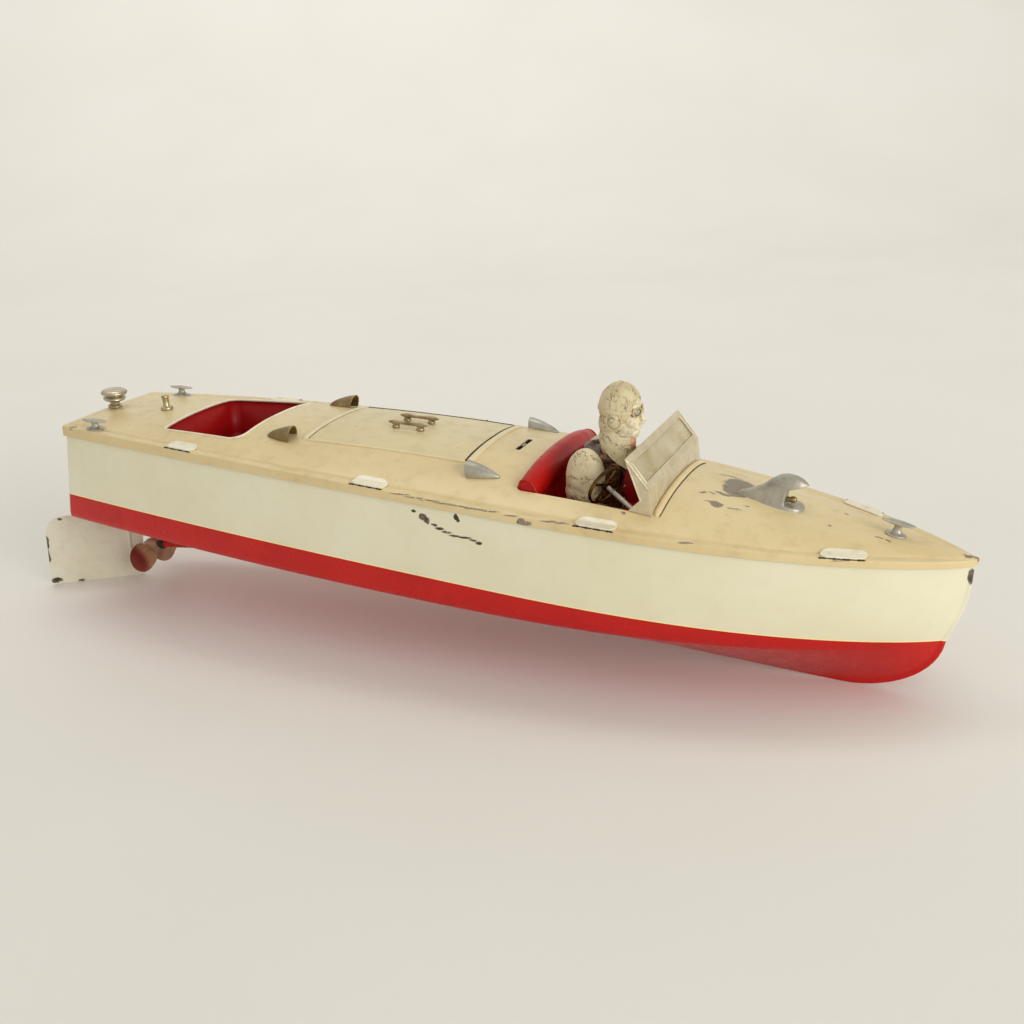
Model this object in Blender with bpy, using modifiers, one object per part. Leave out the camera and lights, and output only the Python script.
"""Clockwork tinplate speedboat, 17 inches long, with a driver and a clockwork motor.

Lengths are in millimetres and are turned into metres where meshes are made.
The boat is drawn level, with +X to the bow, +Y to port and z = 0 at the stern
deck edge. ATTITUDE then pitches it nose down and lifts it, because out of the
water it rests on its forefoot and on the lower edge of its rudder.
"""

import math

import bmesh
import bpy
from mathutils import Matrix, Vector

MM = 0.001
GAP = 0.35                       # clearance between neighbouring pieces

# Driving dimensions of the boat
LENGTH = 433.4
MAX_HALF_BEAM = 55.0
TRANSOM_HALF_BEAM = 35.0
WIDEST_X = 230.0
CAMBER = 10.3                    # rise of the deck crown amidships
SHEET = 0.6                      # tinplate thickness
SKIRT = 4.1                      # depth of the deck's side band
MARGIN = 5.0                     # flat strip inside the deck edge
CORNER = 2.0                     # radius of the transom's upright corners
DECK_AFT_X = -0.9
DECK_SPINE = (8.0, 405.0)        # the deck's edge faces away from this stretch of its centre line
HULL_AFT_X = 0.1                 # transom, inside the deck's side band
TRANSOM_RAKE = 4.8               # how far the transom's foot stands aft of its head
STEM_X = 432.3                   # foremost point of the stem
STEM_SPLIT_Z = -41.0             # where the chine meets the stem
KEEL_Z = -69.5
KEEL_END_X = 385.0
TRANSOM_KEEL_Z = -52.5

# Resting attitude
REST_PITCH = math.radians(4.2)
REST_SHIFT_X = -195.9
REST_LIFT = 97.4

# Deck openings
WELL = (60.6, 109.0, 28.8, 32.6)         # aft x, fore x, aft and fore half widths
COCKPIT = (253.8, 310.0, 39.3, 36.5)
WELL_RADIUS, COCKPIT_RADIUS = 4.0, 2.5
HATCH_HOLE = (149.0, 220.0, 24.0, 24.0)
HATCH = (144.2, 224.8, 27.6)             # aft x, fore x, half width of the cover
SLOT = (241.0, 16.0, 2.4)                # x, width across, length along
TAB_X = (83.0, 190.0, 293.0, 386.0)
TAB_LENGTH = 18.0
TAB_WIDTH = 7.2

# Rudder
STOCK_X = 4.4
STOCK_RADIUS = 1.2
RUDDER_TURN = math.radians(34.0)

# Propeller shaft line, which also carries the motor
HUB = (20.5, 0.0, -74.8)
SHAFT_SLOPE = math.atan(0.165)
SHAFT_RADIUS = 1.0
TUBE_RADIUS = 1.9
PROP_RADIUS = 18.8

# Clockwork: places along the shaft line, heights above it
ARBOR_U = 192.0
SECOND_U = 172.7
THIRD_U = 160.4
PLATE_LOW = -5.6
PLATE_HIGH = 17.4
PLATE_T = 0.9
LEVER_U = 206.5
CLICK_PIVOT = (10.2, 7.9)        # on the great wheel, from the arbor's axis

COLLECTION = None
CUTTERS = None


# ---------------------------------------------------------------- helpers

def material(name, colour, roughness=0.5, metallic=0.0):
    mat = bpy.data.materials.get(name)
    if mat is None:
        mat = bpy.data.materials.new(name)
        mat.use_nodes = True
        shader = mat.node_tree.nodes["Principled BSDF"]
        shader.inputs["Base Color"].default_value = (*colour, 1.0)
        shader.inputs["Roughness"].default_value = roughness
        shader.inputs["Metallic"].default_value = metallic
    return mat


CREAM = ("hull_cream", (0.87, 0.83, 0.68), 0.3)
TAN = ("deck_tan", (0.78, 0.66, 0.46), 0.4)
RED = ("lacquer_red", (0.62, 0.03, 0.02), 0.25)
NICKEL = ("nickel", (0.62, 0.61, 0.58), 0.35, 1.0)
STEEL = ("steel", (0.45, 0.44, 0.42), 0.4, 1.0)
BRASS = ("brass", (0.66, 0.48, 0.2), 0.35, 1.0)
FIGURE = ("figure_paint", (0.72, 0.66, 0.5), 0.6)
CELLULOID = ("celluloid", (0.86, 0.82, 0.62), 0.2)
DARK = ("dark_brass", (0.13, 0.09, 0.04), 0.4, 0.8)


def link(obj, paint, parent=None, location=(0, 0, 0), rotation=(0, 0, 0)):
    """Put an object in the boat's collection, painted and placed (location in mm)."""
    COLLECTION.objects.link(obj)
    obj.data.materials.clear()
    obj.data.materials.append(material(*paint))
    obj.parent = parent
    obj.location = Vector(location) * MM
    obj.rotation_euler = rotation
    return obj


def mesh_object(name, bm, smooth=35.0):
    """A mesh object from a bmesh drawn in millimetres."""
    bmesh.ops.scale(bm, vec=(MM, MM, MM), verts=bm.verts)
    mesh = bpy.data.meshes.new(name)
    bm.to_mesh(mesh)
    bm.free()
    mesh.shade_smooth()
    mesh.set_sharp_from_angle(angle=math.radians(smooth))
    return bpy.data.objects.new(name, mesh)


def grid_faces(bm, rows):
    """Quads between rows of vertices that all have the same length."""
    for low, high in zip(rows, rows[1:]):
        for i in range(len(low) - 1):
            bm.faces.new((low[i], low[i + 1], high[i + 1], high[i]))


def lathe(name, profile, steps=20):
    """Turned piece: the (radius, z) profile runs down its outer side."""
    bm = bmesh.new()
    points = [bm.verts.new((r, 0.0, z)) for r, z in profile]
    for a, b in zip(points, points[1:]):
        bm.edges.new((a, b))
    if profile[0][0] > 0:
        bm.edges.new((points[-1], points[0]))
    obj = mesh_object(name, bm)
    screw = obj.modifiers.new("Turn", "SCREW")
    screw.axis = "Z"
    screw.steps = steps
    screw.render_steps = steps
    screw.use_merge_vertices = True
    screw.merge_threshold = 0.00001
    screw.use_smooth_shade = True
    return obj


def cylinder(name, radius, low, high, steps=20):
    return lathe(name, [(0, high), (radius, high), (radius, low), (0, low)], steps)


def ring(name, outer, inner, low, high, steps=20):
    profile = [(inner, high), (outer, high), (outer, low), (inner, low)]
    return lathe(name, profile, steps)


def curve_to_mesh(name, curve):
    """Make a curve a welded mesh object of the same name."""
    holder = bpy.data.objects.new(name + "_curve", curve)
    COLLECTION.objects.link(holder)
    depsgraph = bpy.context.evaluated_depsgraph_get()
    mesh = bpy.data.meshes.new_from_object(holder.evaluated_get(depsgraph))
    bpy.data.objects.remove(holder)
    bm = bmesh.new()
    bm.from_mesh(mesh)
    bmesh.ops.remove_doubles(bm, verts=bm.verts, dist=0.000005)
    bmesh.ops.recalc_face_normals(bm, faces=bm.faces)
    bm.to_mesh(mesh)
    bm.free()
    mesh.name = name
    mesh.shade_smooth()
    mesh.set_sharp_from_angle(angle=math.radians(35))
    return bpy.data.objects.new(name, mesh)


def plate(name, outlines, thickness):
    """Flat piece in XY: the first outline is its edge and the others are holes."""
    curve = bpy.data.curves.new(name, "CURVE")
    curve.dimensions = "2D"
    curve.fill_mode = "BOTH"
    curve.extrude = thickness * MM / 2
    for outline in outlines:
        spline = curve.splines.new("POLY")
        spline.points.add(len(outline) - 1)
        for point, (x, y) in zip(spline.points, outline):
            point.co = (x * MM, y * MM, 0.0, 1.0)
        spline.use_cyclic_u = True
    return curve_to_mesh(name, curve)


def rod(name, points, radius, resolution=2):
    """Round bar along points."""
    curve = bpy.data.curves.new(name, "CURVE")
    curve.dimensions = "3D"
    curve.bevel_depth = radius * MM
    curve.bevel_resolution = resolution
    curve.use_fill_caps = True
    spline = curve.splines.new("POLY")
    spline.points.add(len(points) - 1)
    for point, place in zip(spline.points, points):
        point.co = (*(Vector(place) * MM), 1.0)
    return curve_to_mesh(name, curve)


def box(name, low, high, bevel=0.0):
    """Box between two corners, with its edges bevelled."""
    bm = bmesh.new()
    bmesh.ops.create_cube(bm, size=1.0)
    size = Vector(high) - Vector(low)
    bmesh.ops.scale(bm, vec=size, verts=bm.verts)
    bmesh.ops.translate(bm, vec=Vector(low) + size / 2, verts=bm.verts)
    obj = mesh_object(name, bm)
    if bevel:
        mod = obj.modifiers.new("Bevel", "BEVEL")
        mod.width = bevel * MM
        mod.segments = 2
    return obj


def ellipsoid(name, centre, radii, segments=16, rings=10, turn=None):
    bm = bmesh.new()
    bmesh.ops.create_uvsphere(bm, u_segments=segments, v_segments=rings, radius=1.0)
    bmesh.ops.scale(bm, vec=radii, verts=bm.verts)
    if turn is not None:
        bmesh.ops.transform(bm, matrix=turn.to_4x4(), verts=bm.verts)
    bmesh.ops.translate(bm, vec=centre, verts=bm.verts)
    return mesh_object(name, bm, 80.0)


def combine(target, tool, operation):
    """Boolean of a tool on a target, with the tool kept as a hidden cutter."""
    CUTTERS.objects.link(tool)
    tool.parent = target.parent
    tool.hide_render = True
    tool.display_type = "WIRE"
    mod = target.modifiers.new(operation.title(), "BOOLEAN")
    mod.operation = operation
    mod.solver = "EXACT"
    mod.object = tool
    return tool


def shell(obj, thickness, offset):
    mod = obj.modifiers.new("Sheet", "SOLIDIFY")
    mod.thickness = thickness * MM
    mod.offset = offset
    mod.use_even_offset = True


def circle(radius, count=16, centre=(0.0, 0.0)):
    turn = 2 * math.pi / count
    return [(centre[0] + radius * math.cos(i * turn),
             centre[1] + radius * math.sin(i * turn)) for i in range(count)]


def rounded(x0, x1, half0, half1, radius, steps=4):
    """Symmetric four-sided outline with round corners, counter-clockwise."""
    corners = [(x0 + radius, -half0 + radius, 180), (x1 - radius, -half1 + radius, 270),
               (x1 - radius, half1 - radius, 0), (x0 + radius, half0 - radius, 90)]
    points = []
    for cx, cy, start in corners:
        for i in range(steps + 1):
            angle = math.radians(start + 90.0 * i / steps)
            points.append((cx + radius * math.cos(angle), cy + radius * math.sin(angle)))
    return points


def softened(corners, steps=5):
    """Outline through (x, y, radius) corners, each rounded by a short curve."""
    points = []
    count = len(corners)
    for i, (x, y, radius) in enumerate(corners):
        corner = Vector((x, y))
        before = (Vector(corners[i - 1][:2]) - corner).normalized() * radius
        after = (Vector(corners[(i + 1) % count][:2]) - corner).normalized() * radius
        for k in range(steps + 1):
            t = k / steps
            point = corner + before * (1 - t) ** 2 + after * t ** 2
            points.append((point.x, point.y))
    return points


def prism(name, outline, low, high):
    """Upright prism over an outline."""
    bm = bmesh.new()
    base = [bm.verts.new((x, y, low)) for x, y in outline]
    top = [bm.verts.new((x, y, high)) for x, y in outline]
    count = len(outline)
    for i in range(count):
        j = (i + 1) % count
        bm.faces.new((base[i], base[j], top[j], top[i]))
    bm.faces.new(list(reversed(base)))
    bm.faces.new(top)
    return mesh_object(name, bm)


# ---------------------------------------------------------------- boat's lines

def half_beam(x):
    """Half width of the deck edge at x."""
    if x < WIDEST_X:
        width = MAX_HALF_BEAM - (MAX_HALF_BEAM - TRANSOM_HALF_BEAM) * (1 - x / WIDEST_X) ** 2.1
        corner = max(DECK_AFT_X + CORNER - x, 0.0)
        width -= CORNER - math.sqrt(max(CORNER ** 2 - corner ** 2, 0.0))
        return width
    ahead = min((x - WIDEST_X) / (LENGTH - WIDEST_X), 1.0)
    return MAX_HALF_BEAM * (1 - ahead ** 2.6) ** 0.84


def sheer(x):
    """Height of the deck edge at x."""
    return 0.05 * x - 0.00014 * x * x


def deck_height(x, y):
    """Height of the deck's upper face."""
    beam = half_beam(x)
    crown_half = beam - min(MARGIN, 0.3 * beam)
    crown = 0.5 + CAMBER * math.sin(math.pi * min(max(x, 0.0), LENGTH) / LENGTH) ** 1.2
    if abs(y) >= crown_half or crown_half <= 0.5:
        return sheer(x) + 0.2
    return sheer(x) + 0.2 + crown * (1 - (abs(y) / crown_half) ** 2.5)


def deck_slope(x, y):
    """Roll angle of the deck's upper face at a point."""
    return math.atan(deck_height(x, y + 0.5) - deck_height(x, y - 0.5))


def chine_height(s):
    """Height of the chine: high forward, dropping towards the transom."""
    return STEM_SPLIT_Z - 5.9 * (1 - s) ** 0.45 - 4.5 * (1 - s) ** 5


def keel_height(x):
    """Height of the keel, which rises aft to the transom."""
    return KEEL_Z + (TRANSOM_KEEL_Z - KEEL_Z) * max(0.0, 1 - x / 330.0) ** 1.6


def stem_x(z):
    """Foremost x of the hull at height z on the centre line."""
    if z > STEM_SPLIT_Z:
        return STEM_X - 7.0 * (min(0.0, z + 14.0) / 28.8) ** 2
    depth = min(1.0, (z - STEM_SPLIT_Z) / (KEEL_Z - STEM_SPLIT_Z))
    return KEEL_END_X + (stem_x(STEM_SPLIT_Z + 0.01) - KEEL_END_X) * math.sqrt(1 - depth ** 2)


def stations(count_aft=9, count_fore=9):
    """Fractions of the length, closer together towards the bow and the transom."""
    aft = [0.0, 0.0015, 0.005]
    aft += [0.005 + (0.6 - 0.005) * i / count_aft for i in range(1, count_aft + 1)]
    fore = [0.6 + 0.4 * math.sin(0.5 * math.pi * i / count_fore) for i in range(1, count_fore + 1)]
    return aft + fore


def hull_section(s):
    """Half section at a fraction of the length, from the deck edge to the keel."""
    inset = SHEET + GAP + 0.05

    def along(end):
        return HULL_AFT_X + s * (end - HULL_AFT_X)

    top_x = along(STEM_X)
    top = Vector((top_x, max(half_beam(s * LENGTH) - inset, 0.0), sheer(top_x) - 1.3))
    chine_x = along(stem_x(STEM_SPLIT_Z + 0.01))
    chine_y = max(half_beam(s * LENGTH) - inset, 0.0) * (0.98 - 0.135 * s ** 6)
    chine = Vector((chine_x, chine_y, chine_height(s)))

    def side(t):
        point = top.lerp(chine, t)
        point.x = along(stem_x(-6.0 + (STEM_SPLIT_Z + 6.0) * t))
        return point

    def bottom(w):
        end_z = STEM_SPLIT_Z + (KEEL_Z - STEM_SPLIT_Z) * w
        keel = keel_height(s * KEEL_END_X)
        return Vector((along(stem_x(end_z)), chine_y * (1 - w) ** 0.92,
                       chine.z + (keel - chine.z) * w))

    above = side(0.90)
    below = bottom(0.07)
    corner = (above + 2 * chine + below) / 4
    points = [side(0.0), side(0.45), above, corner, below]
    points += [bottom(w) for w in (0.4, 0.75, 0.94, 1.0)]
    points[-1].y = 0.0
    for point in points:
        point.x -= TRANSOM_RAKE * (1 - s) * min(max((-6.0 - point.z) / 46.5, 0.0), 1.0)
    if s >= 1.0:
        for point in points:
            point.y = 0.0
    return points


# ---------------------------------------------------------------- hull and deck

def make_hull(root):
    bm = bmesh.new()
    columns = [[bm.verts.new(p) for p in hull_section(s)] for s in stations()]
    grid_faces(bm, list(reversed(columns)))
    transom = columns[0]
    top_centre = bm.verts.new((transom[0].co.x, 0.0, transom[0].co.z))
    bm.faces.new([top_centre] + transom)
    other = bmesh.ops.duplicate(bm, geom=bm.verts[:] + bm.edges[:] + bm.faces[:])
    twins = [item for item in other["geom"] if isinstance(item, bmesh.types.BMVert)]
    faces = [item for item in other["geom"] if isinstance(item, bmesh.types.BMFace)]
    bmesh.ops.scale(bm, vec=(1, -1, 1), verts=twins)
    bmesh.ops.reverse_faces(bm, faces=faces)
    bmesh.ops.remove_doubles(bm, verts=bm.verts, dist=0.02)
    bmesh.ops.dissolve_degenerate(bm, edges=bm.edges, dist=0.01)
    bmesh.ops.recalc_face_normals(bm, faces=bm.faces)
    hull = link(mesh_object("hull", bm), CREAM, root)
    shell(hull, SHEET, -1.0)
    for x in TAB_X:
        for side in (1, -1):
            combine(hull, tab(f"tab_{x:.0f}_{side}", x, side, 0.0), "UNION")
    bore = cylinder("tube_bore", TUBE_RADIUS + GAP, 60.0, 150.0, 16)
    combine(hull, bore, "DIFFERENCE")
    place_on_shaft(bore)
    combine(hull, cylinder("stock_bore", STOCK_RADIUS + 1.0 + GAP, -70.0, -45.0, 16), "DIFFERENCE")
    CUTTERS.objects["stock_bore"].location = (STOCK_X * MM, 0.0, 0.0)
    return hull


def tab(name, x, side, grow):
    """Ear of the hull sheet, up through the deck and folded inboard over its margin."""
    bm = bmesh.new()
    rows = []
    steps = 6
    for i in range(steps + 1):
        along = x + (TAB_LENGTH / 2 + grow) * (2 * i / steps - 1)
        beam = half_beam(along) - SHEET - GAP - 0.05
        foot = sheer(along) - 3.2 - 12 * grow
        fold = sheer(along) + 0.2 + GAP + 0.05
        leg = 0.35 + grow
        crease = half_beam(along) - MARGIN + 0.3
        inner = beam - TAB_WIDTH
        inner_z = deck_height(along, inner) + GAP + 0.05
        if grow:
            profile = [(beam + 0.02 + grow, foot), (beam + 0.02 + grow, fold + 6),
                       (beam - SHEET - grow, fold + 6), (beam - SHEET - grow, foot)]
        else:
            profile = [(beam, foot), (beam, fold + SHEET * 0.6), (beam - leg, fold + SHEET),
                       (crease, fold + SHEET), (inner, inner_z + SHEET), (inner, inner_z),
                       (crease, fold), (beam - SHEET + 0.05, fold), (beam - SHEET + 0.05, foot)]
        rows.append([bm.verts.new((along, y * side, z)) for y, z in profile])
    for low, high in zip(rows, rows[1:]):
        count = len(low)
        for i in range(count):
            j = (i + 1) % count
            bm.faces.new((low[i], low[j], high[j], high[i]))
    bm.faces.new(list(reversed(rows[0])))
    bm.faces.new(rows[-1])
    bmesh.ops.recalc_face_normals(bm, faces=bm.faces)
    return mesh_object(name, bm)


def deck_surface(bm):
    """Upper face of the deck out to the start of its rounded edge."""
    edge = 0.8
    rows = []
    across = (0.0, 0.4, 0.68, 0.88, 1.0)
    ts = [-t for t in reversed(across[1:])] + list(across)
    for s in stations(11, 11):
        x = DECK_AFT_X + edge + s * (LENGTH - 0.6 - edge - DECK_AFT_X)
        beam = max(half_beam(x) - edge, 0.0) if s < 1.0 else 0.0
        crown_half = max(beam + edge - min(MARGIN, 0.3 * (beam + edge)), 0.0) if s < 1.0 else 0.0
        ys = [-beam] + [t * min(crown_half, beam * 0.97) for t in ts] + [beam]
        rows.append([bm.verts.new((x, y, deck_height(x, y))) for y in ys])
    grid_faces(bm, rows)
    bmesh.ops.remove_doubles(bm, verts=bm.verts, dist=0.03)
    bmesh.ops.dissolve_degenerate(bm, edges=bm.edges, dist=0.01)


def turn_down_edge(bm, steps):
    """Carry the sheet's edge outward and down by (out, down) steps."""
    for out, down in steps:
        rim = [e for e in bm.edges if e.is_boundary]
        outward = {}
        for edge in rim:
            a, b = edge.verts
            middle = (a.co + b.co) / 2
            spine = Vector((min(max(middle.x, DECK_SPINE[0]), DECK_SPINE[1]), 0.0, middle.z))
            away = (b.co - a.co).cross(Vector((0, 0, 1))).normalized()
            if away.dot(middle - spine) < 0:
                away = -away
            for vert in (a, b):
                outward[vert] = outward.get(vert, Vector((0, 0, 0))) + away
        made = bmesh.ops.extrude_edge_only(bm, edges=rim)
        for vert in [v for v in made["geom"] if isinstance(v, bmesh.types.BMVert)]:
            source = min(outward, key=lambda rim_vert: (rim_vert.co - vert.co).length)
            vert.co += outward[source].normalized() * out + Vector((0, 0, -down))


def make_deck(root):
    bm = bmesh.new()
    deck_surface(bm)
    turn_down_edge(bm, [(0.55, 0.25), (0.25, 0.65), (0.0, SKIRT - 0.9)])
    bmesh.ops.recalc_face_normals(bm, faces=bm.faces)
    top = max(bm.faces, key=lambda f: f.calc_center_median().z)
    if top.normal.z < 0:
        bmesh.ops.reverse_faces(bm, faces=bm.faces)
    deck = link(mesh_object("deck", bm), TAN, root)
    shell(deck, SHEET, -1.0)
    openings = [("well_cut", rounded(*WELL, WELL_RADIUS)),
                ("cockpit_cut", rounded(*COCKPIT, COCKPIT_RADIUS)),
                ("hatch_cut", rounded(*HATCH_HOLE, 4.0))]
    slot_x, slot_wide, slot_long = SLOT
    openings.append(("slot_cut", rounded(slot_x - slot_long / 2, slot_x + slot_long / 2,
                                         slot_wide / 2, slot_wide / 2, 1.0, 2)))
    openings.append(("stock_cut", circle(STOCK_RADIUS + GAP, 12, (STOCK_X, 0.0))))
    for name, outline in openings:
        combine(deck, prism(name, outline, -12.0, 40.0), "DIFFERENCE")
    for x in TAB_X:
        for side in (1, -1):
            combine(deck, tab(f"tab_slot_{x:.0f}_{side}", x, side, GAP), "DIFFERENCE")
    return deck


def tub(name, spec, radius, floor_z, paint, root):
    """Open-topped pan hanging under a deck opening, its rim following the deck."""
    x0, x1, half0, half1 = spec
    outline = rounded(x0 - 1, x1 + 1, half0 + 1, half1 + 1, radius + 1)
    inner = rounded(x0 + 2, x1 - 2, half0 - 2, half1 - 2, radius)
    bm = bmesh.new()
    drop = SHEET + GAP + 0.35
    rim = [bm.verts.new((x, y, deck_height(x, y) - drop)) for x, y in outline]
    low = [bm.verts.new((x, y, floor_z + 3.0)) for x, y in outline]
    base = [bm.verts.new((x, y, floor_z)) for x, y in inner]
    count = len(outline)
    for upper, lower in ((rim, low), (low, base)):
        for i in range(count):
            j = (i + 1) % count
            bm.faces.new((lower[i], lower[j], upper[j], upper[i]))
    bm.faces.new(base)
    bmesh.ops.recalc_face_normals(bm, faces=bm.faces)
    obj = link(mesh_object(name, bm), paint, root)
    shell(obj, SHEET, 1.0)
    return obj


def make_hatch(root):
    """Lift-off motor cover, bent to the deck's crown, with a bead at each end."""
    aft, fore, half = HATCH
    bm = bmesh.new()
    xs = [aft, aft + 1.2, aft + 2.4, aft + 3.6]
    xs += [aft + 3.6 + (fore - aft - 7.2) * i / 6 for i in range(1, 6)]
    xs += [fore - 3.6, fore - 2.4, fore - 1.2, fore]
    bead = {1: 0.7, 2: 0.7, len(xs) - 3: 0.7, len(xs) - 2: 0.7}
    rows = []
    for i, x in enumerate(xs):
        ys = [half * t for t in (-1, -0.8, -0.55, -0.3, 0, 0.3, 0.55, 0.8, 1)]
        lift = GAP + 0.35 + bead.get(i, 0.0)
        rows.append([bm.verts.new((x, y, deck_height(x, y) + lift)) for y in ys])
    grid_faces(bm, rows)
    bmesh.ops.recalc_face_normals(bm, faces=bm.faces)
    if bm.faces[:][0].normal.z < 0:
        bmesh.ops.reverse_faces(bm, faces=bm.faces)
    obj = link(mesh_object("hatch_cover", bm), TAN, root)
    shell(obj, 0.5, 1.0)
    return obj


def make_handle(name, x, y, root):
    """Small grab rail: two posts under a bar with pointed ends."""
    z = deck_height(x, y) + 2 * GAP + 0.95
    half = 10.5
    rise = 2.1
    bar = lathe(name, [(0, half), (0.5, half - 0.8), (0.9, half - 3), (0.9, -half + 3),
                       (0.5, -half + 0.8), (0, -half)], 10)
    link(bar, NICKEL, root, (x, y, z + rise), (0, math.radians(90), 0))
    for sign in (-1, 1):
        post = rod(f"{name}_post_{sign}", [(0, 0, -rise), (0, 0, 0)], 0.8)
        combine(bar, post, "UNION")
        post.parent = root
        post.location = Vector((x + sign * 6.5, y, z + rise)) * MM
    return bar


def make_vent(name, x, y, facing, root):
    """Half-shell cowl: round mouth at one end, running down to the deck at the other."""
    length, half, height = 14.4, 4.4, 5.9
    bm = bmesh.new()
    rows = []
    for i in range(9):
        u = i / 8
        taper = math.sqrt(max(1 - u ** 1.7, 0.0))
        row = []
        for j in range(9):
            angle = math.pi * j / 8
            row.append(bm.verts.new((facing * (length / 2 - u * length),
                                     half * taper * math.cos(angle),
                                     height * taper * math.sin(angle))))
        rows.append(row)
    grid_faces(bm, rows)
    bmesh.ops.remove_doubles(bm, verts=bm.verts, dist=0.02)
    bmesh.ops.dissolve_degenerate(bm, edges=bm.edges, dist=0.01)
    bmesh.ops.recalc_face_normals(bm, faces=bm.faces)
    top = max(bm.faces, key=lambda f: f.calc_center_median().z)
    if top.normal.z < 0:
        bmesh.ops.reverse_faces(bm, faces=bm.faces)
    obj = link(mesh_object(name, bm, 60.0), NICKEL, root,
               (x, y, deck_height(x, y) + GAP + 0.5),
               (deck_slope(x, y), -math.atan(deck_height(x + 1, y) - deck_height(x, y)), 0))
    shell(obj, 0.5, -1.0)
    return obj


def make_cleat(name, x, y, length, root):
    """Horned cleat on a waisted foot."""
    foot = lathe(name, [(0, 4.6), (1.7, 4.6), (1.5, 3.4), (1.6, 2.4), (2.4, 1.3), (3.6, 0.7),
                        (3.9, 0.0), (0, 0.0)], 16)
    link(foot, NICKEL, root, (x, y, deck_height(x, y) + GAP + 0.15), (deck_slope(x, y) * 0.5, 0, 0))
    horn = ellipsoid(name + "_horn", (0, 0, 4.9), (length / 2, 2.2, 1.2), 16, 8)
    combine(foot, horn, "UNION")
    horn.parent = root
    horn.location = foot.location
    horn.rotation_euler = foot.rotation_euler
    return foot


def make_bow_fitting(root):
    """Streamlined cast light housing: low tail aft, hooded mouth forward."""
    sections = [(-15.0, 1.2, 0.8), (-12.0, 2.4, 2.4), (-5.5, 3.5, 6.2), (-1.0, 4.4, 10.6),
                (4.0, 4.9, 13.6), (8.5, 4.9, 13.8), (12.0, 4.2, 12.6), (14.0, 3.2, 11.2)]
    bm = bmesh.new()
    rows = []
    for along, half, height in sections:
        row = []
        for j in range(9):
            angle = math.pi * j / 8
            row.append(bm.verts.new((along, half * math.cos(angle),
                                     height * math.sin(angle) ** 0.8)))
        rows.append(row)
    grid_faces(bm, rows)
    bm.faces.new(rows[0])
    bm.faces.new(rows[-1])
    for low, high in zip(rows, rows[1:]):
        bm.faces.new((low[0], high[0], high[-1], low[-1]))
    bmesh.ops.recalc_face_normals(bm, faces=bm.faces)
    x = 351.7
    place = (x, 0.0, deck_height(x + 8, 0) + 0.95)
    tilt = (0, math.atan((deck_height(x - 16, 0) - deck_height(x + 14, 0)) / 30), 0)
    obj = link(mesh_object("bow_light", bm, 50.0), NICKEL, root, place, tilt)
    mouth = box("bow_light_mouth", (6.0, -3.6, 1.6), (20.0, 3.6, 9.2))
    combine(obj, mouth, "DIFFERENCE")
    mouth.location = obj.location
    mouth.rotation_euler = obj.rotation_euler
    return obj


def make_flag_socket(root):
    """Small flanged post with a blind hole for a flag staff."""
    x = 39.3
    outer = lathe("flag_socket", [(0, 7.0), (1.7, 7.0), (1.7, 1.6), (3.0, 1.0), (3.0, 0.0),
                                  (0, 0.0)], 16)
    link(outer, NICKEL, root, (x, 0, deck_height(x, 0) + GAP + 0.1))
    bore = cylinder("flag_bore", 0.9, 1.5, 9.0, 12)
    combine(outer, bore, "DIFFERENCE")
    bore.location = outer.location
    return outer


# ---------------------------------------------------------------- cockpit

def make_windshield(root):
    """Folded frame: strip down to the deck, leaning panel with a window, side wings."""
    foot_x, fold_x, top_x = 312.0, 310.3, 300.2
    fold_z, top_z = 16.5, 27.9
    half, wing_x = 37.0, 302.9
    border = 2.4
    bm = bmesh.new()
    across = [half * t for t in (-1, -0.75, -0.5, -0.25, 0, 0.25, 0.5, 0.75, 1)]
    clear = GAP + 0.35
    foot = [bm.verts.new((foot_x, y, deck_height(foot_x, y) + clear)) for y in across]
    fold = [bm.verts.new((fold_x, y, fold_z)) for y in across]
    grid_faces(bm, [foot, fold])
    lean = Vector((top_x - fold_x, 0, top_z - fold_z))
    low = Vector((fold_x, 0, fold_z)) + lean.normalized() * border
    high = Vector((fold_x, 0, fold_z)) + lean - lean.normalized() * border
    sill = [bm.verts.new((low.x, y, low.z)) for y in (-half + border, half - border)]
    head = [bm.verts.new((high.x, y, high.z)) for y in (-half + border, half - border)]
    top = [bm.verts.new((top_x, y, top_z)) for y in (-half, half)]
    bm.faces.new(fold + [sill[1], sill[0]])
    bm.faces.new((fold[0], sill[0], head[0], top[0]))
    bm.faces.new((sill[1], fold[-1], top[1], head[1]))
    bm.faces.new((top[0], head[0], head[1], top[1]))
    for edge, corner, foot_vert, side in ((fold[0], top[0], foot[0], -1),
                                          (fold[-1], top[1], foot[-1], 1)):
        toe_y = half * side
        toe_z = deck_height(wing_x, toe_y) + clear
        toe = bm.verts.new((wing_x, toe_y, toe_z))
        waist = bm.verts.new((fold_x - 3.0, toe_y, 11.5))
        bm.faces.new((foot_vert, edge, waist, toe))
        bm.faces.new((edge, corner, waist))
    bmesh.ops.recalc_face_normals(bm, faces=bm.faces)
    front = max(bm.faces, key=lambda f: f.calc_center_median().x)
    if front.normal.x < 0:
        bmesh.ops.reverse_faces(bm, faces=bm.faces)
    obj = link(mesh_object("windshield_frame", bm, 20.0), NICKEL, root)
    shell(obj, 0.5, -1.0)

    angle = math.atan2(lean.z, -lean.x)
    span = lean.length - 1.4
    pane = box("windshield_pane", (-span / 2, -half + 1.3, -0.15), (span / 2, half - 1.3, 0.15))
    middle = Vector((fold_x, 0, fold_z)) + lean / 2
    outward = Vector((lean.z, 0, -lean.x)).normalized()
    link(pane, CELLULOID, root, middle + outward * 0.6, (0, angle, 0))
    return obj


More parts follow.
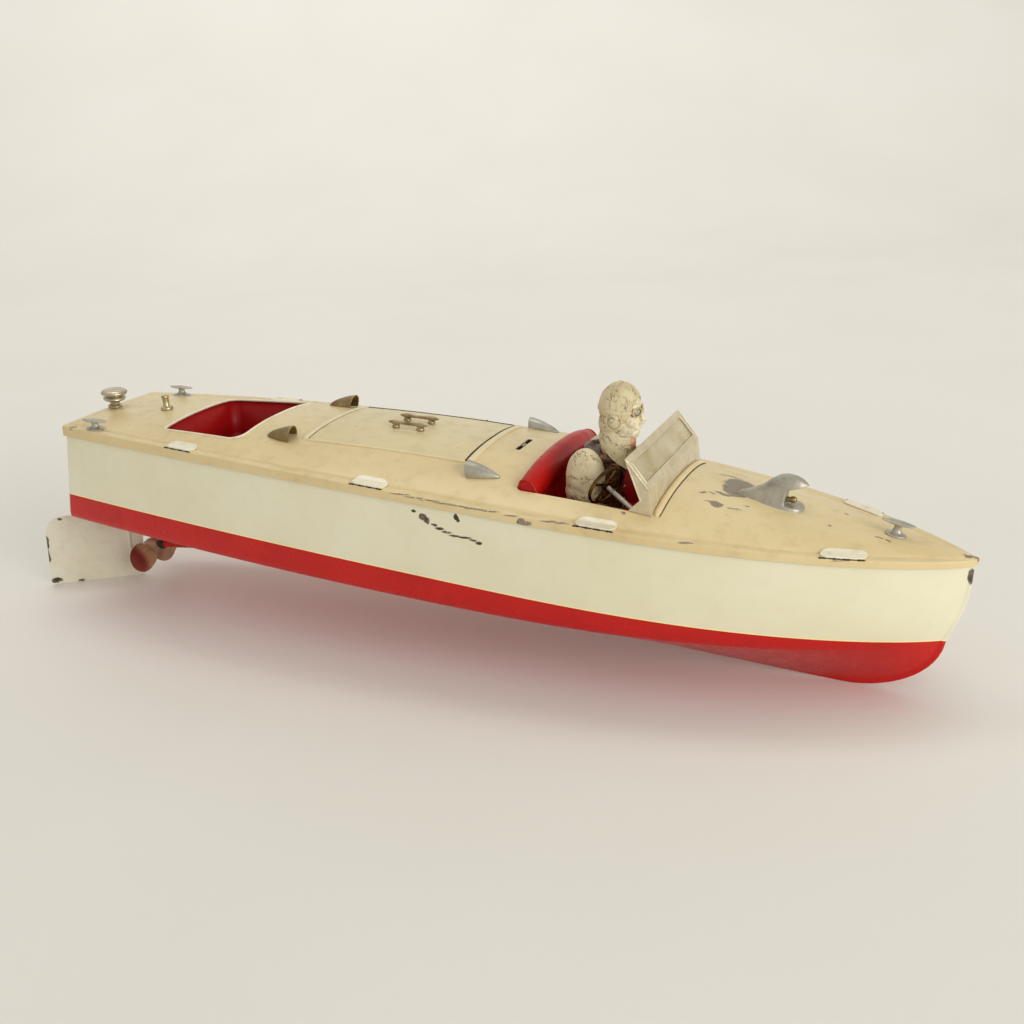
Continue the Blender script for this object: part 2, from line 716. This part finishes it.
def make_cowl_bead(root):
    """Half-round bead on the deck just ahead of the windshield."""
    points = []
    x = 314.6
    half = 36.5
    for i in range(13):
        y = -half + 2 * half * i / 12
        points.append((x, y, deck_height(x, y) + 1.05 + GAP))
    obj = link(rod("cowl_bead", points, 1.0), TAN, root)
    return obj


def make_seat(root):
    """Pressed seat: a rolled back along the cockpit's aft edge and a flat base."""
    back_x = 255.0
    depth = 7.6
    bm = bmesh.new()
    rows = []
    for i in range(9):
        y = -38.2 + 76.4 * i / 8
        crest = deck_height(back_x, y * 0.97) + 3.8
        low = -28.0
        profile = [(back_x, low), (back_x, crest - 2.5), (back_x + 1.2, crest - 0.5),
                   (back_x + 3.0, crest), (back_x + 5.2, crest - 1.4), (back_x + depth, crest - 5.0),
                   (back_x + depth - 0.4, crest - 10.0), (back_x + 4.6, crest - 15.0),
                   (back_x + 4.2, low)]
        rows.append([bm.verts.new((x, y, z)) for x, z in profile])
    for near, far in zip(rows, rows[1:]):
        count = len(near)
        for k in range(count):
            j = (k + 1) % count
            bm.faces.new((near[k], near[j], far[j], far[k]))
    bm.faces.new(rows[0])
    bm.faces.new(rows[-1])
    bmesh.ops.recalc_face_normals(bm, faces=bm.faces)
    link(mesh_object("seat_back", bm, 60.0), RED, root)
    base = box("seat_base", (260.4, -35.0, -31.2), (288.0, 35.0, -19.0), 1.5)
    link(base, RED, root)


def make_driver(root):
    """Half figure in a flying helmet, cast in one piece."""
    seat_z = -18.6
    y = -12.0
    torso = ellipsoid("driver", (281.0, y, 2.0), (10.0, 13.5, 22.0), 16, 12)
    link(torso, FIGURE, root)
    parts = [
        ellipsoid("driver_chest", (281.5, y, 12.5), (9.2, 13.0, 12.5), 14, 10),
        ellipsoid("driver_neck", (284.5, y, 27.0), (6.5, 7.0, 8.0), 12, 8),
        ellipsoid("driver_head", (289.0, y, 41.5), (9.4, 8.8, 11.8), 16, 12),
        ellipsoid("driver_face", (292.2, y, 38.0), (7.0, 6.6, 9.2), 14, 10),
        rod("driver_arm_starboard", [(280.5, y - 9.5, 18.0), (276.8, y - 11.6, 5.0),
                                     (282.0, y - 10.5, -3.0), (287.0, y - 6.0, -2.0)], 6.0),
        rod("driver_arm_port", [(280.5, y + 9.5, 18.0), (276.8, y + 11.6, 5.0),
                                (282.0, y + 10.5, -3.0), (287.0, y + 5.0, -2.0)], 6.0),
    ]
    for part in parts:
        combine(torso, part, "UNION")
    base = box("driver_base_cut", (255, -45, -45), (305, 15, seat_z))
    combine(torso, base, "DIFFERENCE")


def make_steering(root):
    """Wheel and column. The wheel's empty sits on the column, which is its axis."""
    centre = Vector((289.5, -28.0, 12.3))
    end = Vector((306.4, -35.7, 4.8))
    axis = (end - centre).normalized()
    pivot = bpy.data.objects.new("steering_axis", None)
    COLLECTION.objects.link(pivot)
    pivot.parent = root
    pivot.location = centre * MM
    pivot.rotation_mode = "QUATERNION"
    pivot.rotation_quaternion = (-axis).to_track_quat("Z", "Y")
    radius, wire = 8.2, 0.75
    rim = [(radius + wire * math.cos(a), wire * math.sin(a))
           for a in (math.radians(90 - 45 * i) for i in range(8))]
    wheel = lathe("steering_wheel", rim, 24)
    link(wheel, DARK, pivot)
    for name, turn in (("spokes_a", 0.0), ("spokes_b", 90.0)):
        a = math.radians(turn + 20)
        reach = radius
        spoke = rod(name, [(-reach * math.cos(a), -reach * math.sin(a), 0),
                           (reach * math.cos(a), reach * math.sin(a), 0)], 0.45)
        combine(wheel, spoke, "UNION")
        spoke.parent = pivot
    hub = cylinder("wheel_hub", 1.7, -1.2, 1.0, 12)
    combine(wheel, hub, "UNION")
    hub.parent = pivot
    length = (end - centre).length
    link(cylinder("steering_column", 1.0, -length, -1.2 - GAP, 12), NICKEL, pivot)


# ---------------------------------------------------------------- rudder

def rudder_foot(along):
    """Height of the rudder's lower edge, which lies on the floor when the boat rests."""
    x = STOCK_X + along * math.cos(RUDDER_TURN)
    return (x * math.sin(REST_PITCH) - REST_LIFT) / math.cos(REST_PITCH)


def make_rudder(root):
    """Clamped rudder, set over by RUDDER_TURN about its upright stock."""
    stock_empty = bpy.data.objects.new("rudder_axis", None)
    COLLECTION.objects.link(stock_empty)
    stock_empty.parent = root
    stock_empty.location = (STOCK_X * MM, 0, 0)
    stock_empty.rotation_euler = (0, 0, RUDDER_TURN)
    top = deck_height(STOCK_X, 0) + GAP + 0.1
    knob = lathe("rudder_knob", [(0, top + 9.6), (4.6, top + 9.6), (6.4, top + 8.9),
                                 (6.7, top + 8.0), (6.4, top + 7.1), (4.4, top + 6.4),
                                 (4.9, top + 5.2), (4.4, top + 4.0), (2.4, top + 3.3),
                                 (2.4, top + 1.8), (3.4, top + 1.0), (3.4, top), (0, top)], 24)
    link(knob, NICKEL, stock_empty)
    combine(knob, cylinder("knob_bore", STOCK_RADIUS + GAP, top - 1, top + 7.0, 16), "DIFFERENCE")
    link(cylinder("rudder_stock", STOCK_RADIUS, -80.0, top + 6.6, 16), STEEL, stock_empty)
    aft, fore, high = -44.0, 7.3, -59.2
    corners = [(fore, rudder_foot(fore), 2.5), (fore, high, 5.0), (aft, high, 11.0),
               (aft, rudder_foot(aft), 3.0)]
    blade = plate("rudder_blade", [softened(corners)], 0.9)
    link(blade, CREAM, stock_empty, (0, 0, 0), (math.radians(90), 0, 0))
    combine(blade, cylinder("blade_slot", STOCK_RADIUS + GAP, -80.4, -50.0, 16), "DIFFERENCE")
    tube = ring("rudder_tube", STOCK_RADIUS + 1.0, STOCK_RADIUS + GAP, -57.0, -0.9, 16)
    link(tube, BRASS, root, (STOCK_X, 0, 0))


# ---------------------------------------------------------------- drive

def place_on_shaft(obj, u=0.0, v=0.0, w=0.0, along=True):
    """Set an object's axis along the shaft line, or square to it."""
    base = Matrix.Translation(Vector(HUB) * MM) @ Matrix.Rotation(-SHAFT_SLOPE, 4, "Y")
    place = base @ Matrix.Translation(Vector((u, v, w)) * MM)
    if along:
        place = place @ Matrix.Rotation(math.radians(90), 4, "Y")
    obj.matrix_local = place
    return obj


def make_propeller(drive):
    hub = lathe("propeller", [(0, 4.0), (1.6, 3.6), (2.9, 2.4), (3.1, 0.0), (3.1, -3.4),
                              (2.2, -4.2), (0, -4.2)], 18)
    link(hub, CREAM, drive)
    hub.rotation_euler = (0, math.radians(-90), 0)
    reach = 8.6
    for i in range(3):
        turn = Matrix.Rotation(math.radians(115 + 120 * i), 3, "X")
        pitch = Matrix.Rotation(math.radians(32), 3, "Z")
        blade = ellipsoid(f"blade_{i}", turn @ Vector((0, 0, PROP_RADIUS - reach)),
                          (0.6, 6.4, reach), 12, 8,
                          turn @ pitch)
        combine(hub, blade, "UNION")
        blade.parent = drive
    bore = cylinder("prop_bore", SHAFT_RADIUS + GAP, -2.4, 12.0, 12)
    combine(hub, bore, "DIFFERENCE")
    bore.rotation_euler = (0, math.radians(90), 0)
    return hub


def shaft_piece(obj, paint, drive):
    link(obj, paint, drive)
    obj.rotation_euler = (0, math.radians(90), 0)
    return obj


def make_shaft_line(root, drive):
    shaft_piece(cylinder("propeller_shaft", SHAFT_RADIUS, -2.0, 157.6, 14), STEEL, drive)
    shaft_piece(ring("stern_tube", TUBE_RADIUS, SHAFT_RADIUS + GAP, 5.6, 138.0, 16), BRASS, drive)
    bm = bmesh.new()
    rows = []
    for i in range(9):
        x = 28.0 + 66.0 * i / 8
        top = keel_height(x) - GAP - 0.25
        low = HUB[2] + (x - HUB[0]) * math.tan(SHAFT_SLOPE)
        profile = [(-0.7, top), (0.7, top), (0.9, low), (-0.9, low)]
        rows.append([bm.verts.new((x, y, z)) for y, z in profile])
    for near, far in zip(rows, rows[1:]):
        for k in range(4):
            j = (k + 1) % 4
            bm.faces.new((near[k], near[j], far[j], far[k]))
    bm.faces.new(rows[0])
    bm.faces.new(rows[-1])
    bmesh.ops.recalc_face_normals(bm, faces=bm.faces)
    fairing = link(mesh_object("shaft_web", bm, 50.0), RED, root)
    bore = cylinder("web_bore", TUBE_RADIUS + GAP, -10.0, 160.0, 16)
    combine(fairing, bore, "DIFFERENCE")
    place_on_shaft(bore)


# ---------------------------------------------------------------- clockwork

def toothed(radius, teeth, depth=1.1):
    """Outline of a toothed wheel, its tips on the given radius."""
    points = []
    for i in range(teeth):
        for share, r in ((0.0, radius - depth), (0.5, radius)):
            angle = 2 * math.pi * (i + share) / teeth
            points.append((r * math.cos(angle), r * math.sin(angle)))
    return points


def wheel(name, radius, teeth, low, thickness, u, drive, paint=BRASS, bore=1.35):
    """Toothed wheel square to the shaft line, over its own arbor's place."""
    obj = plate(name, [toothed(radius, teeth), circle(bore, 10)], thickness)
    return link(obj, paint, drive, (u, 0, low + thickness / 2))


def make_motor(drive):
    """Clockwork between two plates: spring, great wheel, train and winding square."""
    outline = [(143, -11), (150, -13), (166, -19), (172, -20.5), (206, -20.5), (212, -18),
               (214, -14), (214, 14), (212, 18), (206, 20.5), (172, 20.5), (166, 19), (150, 13),
               (143, 11)]
    arbors = (ARBOR_U, SECOND_U, THIRD_U)
    holes = [circle(1.35, 10, (u, 0.0)) for u in arbors]
    pillars = [(147.5, 8.0), (147.5, -8.0), (209.0, 15.5), (209.0, -15.5)]
    screws = [circle(1.1, 8, place) for place in pillars]
    for name, height in (("motor_plate_lower", PLATE_LOW), ("motor_plate_upper", PLATE_HIGH)):
        obj = plate(name, [outline] + holes + screws, PLATE_T)
        link(obj, STEEL, drive, (0, 0, height + PLATE_T / 2))
    low, high = PLATE_LOW + PLATE_T + GAP, PLATE_HIGH - GAP
    for i, (u, v) in enumerate(pillars):
        post = lathe(f"motor_pillar_{i + 1}",
                     [(0, high + 2.0), (0.75, high + 2.0), (0.75, high), (1.8, high), (1.8, low),
                      (0.75, low), (0.75, low - 2.0), (0, low - 2.0)], 12)
        link(post, BRASS, drive, (u, v, 0))

    arbor = lathe("winding_arbor", [(0, 31.0), (1.0, 31.0), (1.0, 13.0), (1.0, PLATE_LOW + 0.2),
                                    (0, PLATE_LOW + 0.2)], 14)
    link(arbor, STEEL, drive, (ARBOR_U, 0, 0))
    square = box("winding_square", (-1.9, -1.9, 20.0), (1.9, 1.9, 32.0), 0.3)
    combine(arbor, square, "UNION")
    square.location = arbor.location
    ratchet = plate("ratchet_tool", [toothed(6.6, 14, 1.2)], 1.0)
    combine(arbor, ratchet, "UNION")
    ratchet.location = Vector((ARBOR_U, 0, 14.6)) * MM

    wheel("great_wheel", 16.0, 48, 10.6, 1.4, ARBOR_U, drive)
    make_mainspring(drive)
    click = plate("ratchet_click", [[(7.2, -0.4), (8.3, -0.8), (11.9, 7.0), (11.4, 9.2), (9.4, 9.4),
                                     (8.6, 7.6)], circle(0.7, 8, CLICK_PIVOT)], 1.0)
    link(click, STEEL, drive, (ARBOR_U, 0, 14.6))

    for name, u, wheel_spec, pinion_spec in (
            ("second_wheel", SECOND_U, (9.0, 27, 7.9, 1.0), (3.0, 9, 9.2, 3.6)),
            ("contrate_wheel", THIRD_U, (10.0, 30, 4.6, 1.0), (3.0, 9, 6.0, 3.0))):
        radius, teeth, base, thick = wheel_spec
        arbor_rod = cylinder(name, 1.0, PLATE_LOW + 0.2, PLATE_HIGH + 0.6, 12)
        link(arbor_rod, BRASS, drive, (u, 0, 0))
        disc = plate(name + "_disc", [toothed(radius, teeth, 0.9)], thick)
        combine(arbor_rod, disc, "UNION")
        disc.location = Vector((u, 0, base + thick / 2)) * MM
        radius, teeth, base, thick = pinion_spec
        low = base - 0.5
        pinion = plate(name + "_pinion", [toothed(radius, teeth, 0.9)], thick + 0.5)
        combine(arbor_rod, pinion, "UNION")
        pinion.location = Vector((u, 0, low + (thick + 0.5) / 2)) * MM
        if name == "contrate_wheel":
            crown = ring("contrate_crown", 9.6, 8.2, 2.6, 4.9, 30)
            combine(arbor_rod, crown, "UNION")
            crown.location = Vector((u, 0, 0)) * MM

    pinion = plate("shaft_pinion", [toothed(2.2, 6, 0.5), circle(SHAFT_RADIUS + GAP, 10)], 4.0)
    link(pinion, BRASS, drive, (152.0, 0, 0), (0, math.radians(90), 0))
    bracket = box("shaft_bearing", (139.5, -5.0, -4.4), (141.3, 5.0, 5.0), 0.3)
    link(bracket, BRASS, drive)
    bore = cylinder("bearing_bore", SHAFT_RADIUS + GAP, 130.0, 150.0, 12)
    combine(bracket, bore, "DIFFERENCE")
    bore.rotation_euler = (0, math.radians(90), 0)


def make_mainspring(drive):
    """Spiral ribbon around the winding arbor."""
    turns, inner, outer, points_per_turn = 4.5, 3.2, 14.6, 18
    count = int(turns * points_per_turn)
    bm = bmesh.new()
    low, high = [], []
    for i in range(count + 1):
        angle = 2 * math.pi * i / points_per_turn
        radius = inner + (outer - inner) * i / count
        x, y = radius * math.cos(angle), radius * math.sin(angle)
        low.append(bm.verts.new((x, y, -4.0)))
        high.append(bm.verts.new((x, y, 6.6)))
    grid_faces(bm, [low, high])
    obj = link(mesh_object("mainspring", bm, 60.0), STEEL, drive, (ARBOR_U, 0, 0))
    shell(obj, 0.5, 0.0)


def make_bearers(root):
    """Two tin floors that carry the motor on the hull's bottom."""
    for name, x, half in (("motor_bearer_aft", 178.0, 13.0), ("motor_bearer_fore", 222.0, 19.0)):
        top = HUB[2] + (x - HUB[0]) * math.tan(SHAFT_SLOPE) + PLATE_LOW - 0.6
        keel = keel_height(x) + 2.6
        rise = (chine_height(x / LENGTH) - keel_height(x)) / (half_beam(x) * 0.95)
        outline = [(0, keel), (half, keel + rise * half + 0.6), (half, top), (-half, top),
                   (-half, keel + rise * half + 0.6)]
        obj = plate(name, [outline], 1.0)
        link(obj, STEEL, root)
        obj.matrix_local = Matrix.Translation(Vector((x, 0, 0)) * MM) @ \
            Matrix.Rotation(math.radians(90), 4, "Z") @ Matrix.Rotation(math.radians(90), 4, "X")


def make_stop_lever(drive):
    """Brake lever: pivots on the upper motor plate and rises into the deck's slot."""
    base = PLATE_HIGH + PLATE_T + GAP
    pivot = (LEVER_U, 0.0, base)
    arm = plate("stop_lever", [[(-6, -1.6), (-6, 1.6), (-2, 3.0), (3, 3.0), (21, 1.8), (21, -1.8),
                                (3, -3.0), (-2, -3.0)], circle(1.2, 10)], 0.9)
    link(arm, STEEL, drive, (pivot[0], pivot[1], base + 0.45))
    slot_x = SLOT[0]
    foot = Vector((slot_x - HUB[0], 0, -24.0 - HUB[2]))
    tip = Vector((slot_x - HUB[0], 0, deck_height(slot_x, 0) - 0.2 - HUB[2]))
    turn = Matrix.Rotation(SHAFT_SLOPE, 3, "Y")
    foot, tip = turn @ foot, turn @ tip
    foot.z = base + 0.3
    finger = box("lever_finger", (-0.5, -1.8, 0.0), (0.5, 1.8, (tip - foot).length), 0.0)
    combine(arm, finger, "UNION")
    direction = (tip - foot).normalized()
    finger.matrix_local = Matrix.Translation(foot * MM) @ \
        direction.to_track_quat("Z", "X").to_matrix().to_4x4()
    screw = lathe("lever_screw", [(0, 2.6), (1.6, 2.4), (2.2, 1.6), (2.2, 1.25), (0.8, 1.25),
                                  (0.8, 0.1), (0, 0.1)], 12)
    link(screw, STEEL, drive, (pivot[0], pivot[1], base))


# ---------------------------------------------------------------- build

def main():
    global COLLECTION, CUTTERS
    for obj in list(bpy.data.objects):
        bpy.data.objects.remove(obj, do_unlink=True)
    COLLECTION = bpy.data.collections.new("toy_boat")
    CUTTERS = bpy.data.collections.new("cutters")
    bpy.context.scene.collection.children.link(COLLECTION)
    bpy.context.scene.collection.children.link(CUTTERS)

    root = bpy.data.objects.new("attitude", None)
    COLLECTION.objects.link(root)
    root.rotation_euler = (0, REST_PITCH, 0)
    root.location = (REST_SHIFT_X * MM, 0, REST_LIFT * MM)
    drive = bpy.data.objects.new("shaft_line", None)
    COLLECTION.objects.link(drive)
    drive.parent = root
    drive.location = Vector(HUB) * MM
    drive.rotation_euler = (0, -SHAFT_SLOPE, 0)

    make_hull(root)
    make_deck(root)
    tub("rear_well", WELL, WELL_RADIUS, -16.0, RED, root)
    tub("cockpit_tub", COCKPIT, COCKPIT_RADIUS, -33.0, RED, root)
    make_hatch(root)
    for name, y in (("hatch_handle_port", 5.6), ("hatch_handle_starboard", -5.6)):
        make_handle(name, 185.0, y, root)
    for name, x, y, facing in (("vent_aft_port", 129.0, 27.8, 1),
                               ("vent_aft_starboard", 129.0, -27.8, 1),
                               ("vent_fore_port", 237.0, 34.2, -1),
                               ("vent_fore_starboard", 237.0, -34.2, -1)):
        make_vent(name, x, y, facing, root)
    make_cleat("stern_cleat_port", 21.6, 34.0, 15.5, root)
    make_cleat("stern_cleat_starboard", 21.6, -34.0, 15.5, root)
    make_cleat("bow_cleat", 401.9, 0.0, 13.6, root)
    make_bow_fitting(root)
    make_flag_socket(root)
    make_windshield(root)
    make_cowl_bead(root)
    make_seat(root)
    make_driver(root)
    make_steering(root)
    make_rudder(root)
    make_propeller(drive)
    make_shaft_line(root, drive)
    make_motor(drive)
    make_bearers(root)
    make_stop_lever(drive)


main()
